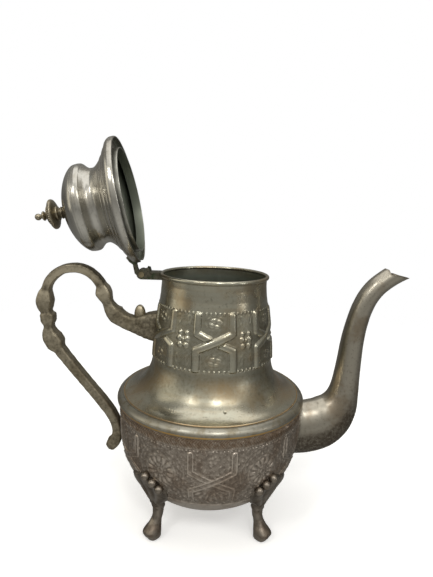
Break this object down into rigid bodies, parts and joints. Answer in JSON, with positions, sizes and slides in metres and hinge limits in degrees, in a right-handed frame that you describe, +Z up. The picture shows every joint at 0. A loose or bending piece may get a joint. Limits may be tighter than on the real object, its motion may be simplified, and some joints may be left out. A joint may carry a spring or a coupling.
{
  "type": "footed coffee or tea pot",
  "caption": "Footed metal serving pot with embossed bowl, tapering neck, swan spout, cast loop handle and a domed lid with finial on a pin hinge.",
  "frame": {"origin": "on the pot's axis, at the plane the four feet stand on", "axes": "+Z up along the bowl and neck, +X towards the spout, -X towards the handle, -Y the side shown with the handle on the left"},
  "size_m": [0.2536, 0.13, 0.2602],
  "materials": {
    "embossed_silver": "worn silver plate over embossed brass, dark in the hollows",
    "worn_band": "plate worn through to brass on the edges",
    "silvered_neck": "silver plate, satin, lightly tarnished",
    "silvered_spout": "silver plate, satin, tarnished at the root",
    "silvered_lid": "silver plate, polished by handling",
    "cast_handle": "aged cast brass, plate nearly gone",
    "cast_feet": "aged cast brass with grey plate",
    "hinge_metal": "dark brass with green tarnish",
    "finial_brass": "turned brass, worn plate",
    "old_brass": "dull brass"
  },
  "bodies": {
    "pot": {"bowl": "embossed_silver", "waist_band": "worn_band", "upper_body": "silvered_neck", "spout": "silvered_spout", "spout_strainer": "old_brass", "foot_front_left": "cast_feet", "foot_front_right": "cast_feet", "foot_rear_left": "cast_feet", "foot_rear_right": "cast_feet", "handle": "cast_handle", "hinge_arm": "hinge_metal", "hinge_pin": "hinge_metal"},
    "lid": {"lid_shell": "silvered_lid", "lid_collar": "worn_band", "lid_leaf": "hinge_metal", "finial_foot": "finial_brass", "finial_knob": "finial_brass", "finial_tip": "finial_brass", "finial_stud": "old_brass", "finial_washer": "old_brass", "finial_nut": "old_brass"}
  },
  "joints": [
    {"name": "lid_hinge", "type": "hinge", "parent": "pot", "child": "lid", "pos_m": [-0.0488, 0, 0.1719], "axis": [0, 1, 0], "range_deg": [0, 102]}
  ]
}
